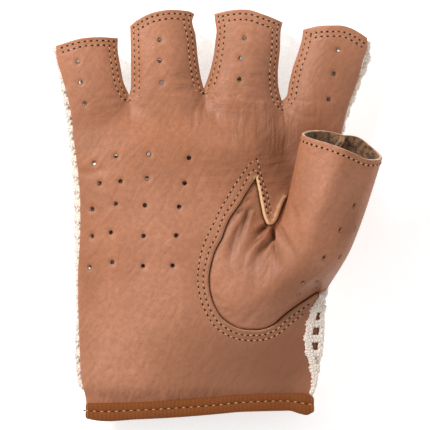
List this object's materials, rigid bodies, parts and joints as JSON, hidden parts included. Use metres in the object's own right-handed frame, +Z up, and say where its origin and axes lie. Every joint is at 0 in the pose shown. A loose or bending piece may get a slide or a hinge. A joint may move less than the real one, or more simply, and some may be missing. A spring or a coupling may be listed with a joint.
{
  "type": "fingerless racing glove",
  "caption": "Right-hand fingerless glove lying palm up: hollow leather palm and thumb, openwork crochet back, ribbed tape round the wrist opening.",
  "frame": {"origin": "middle of the glove's box, on the surface that it lies on", "axes": "+Z up out of the palm, +Y towards the fingertips, +X towards the thumb"},
  "size_m": [0.1354, 0.171, 0.0464],
  "materials": {
    "tan_leather": "smooth tan nappa leather with a soft satin sheen, fine wrinkles and a dark suede inside",
    "cream_crochet": "off-white cotton yarn in open crochet",
    "brown_tape": "brown-orange ribbed tape"
  },
  "bodies": {
    "root": {"palm_leather": "tan_leather", "thumb_leather": "tan_leather", "crochet_back": "cream_crochet", "wrist_binding": "brown_tape"}
  },
  "joints": []
}
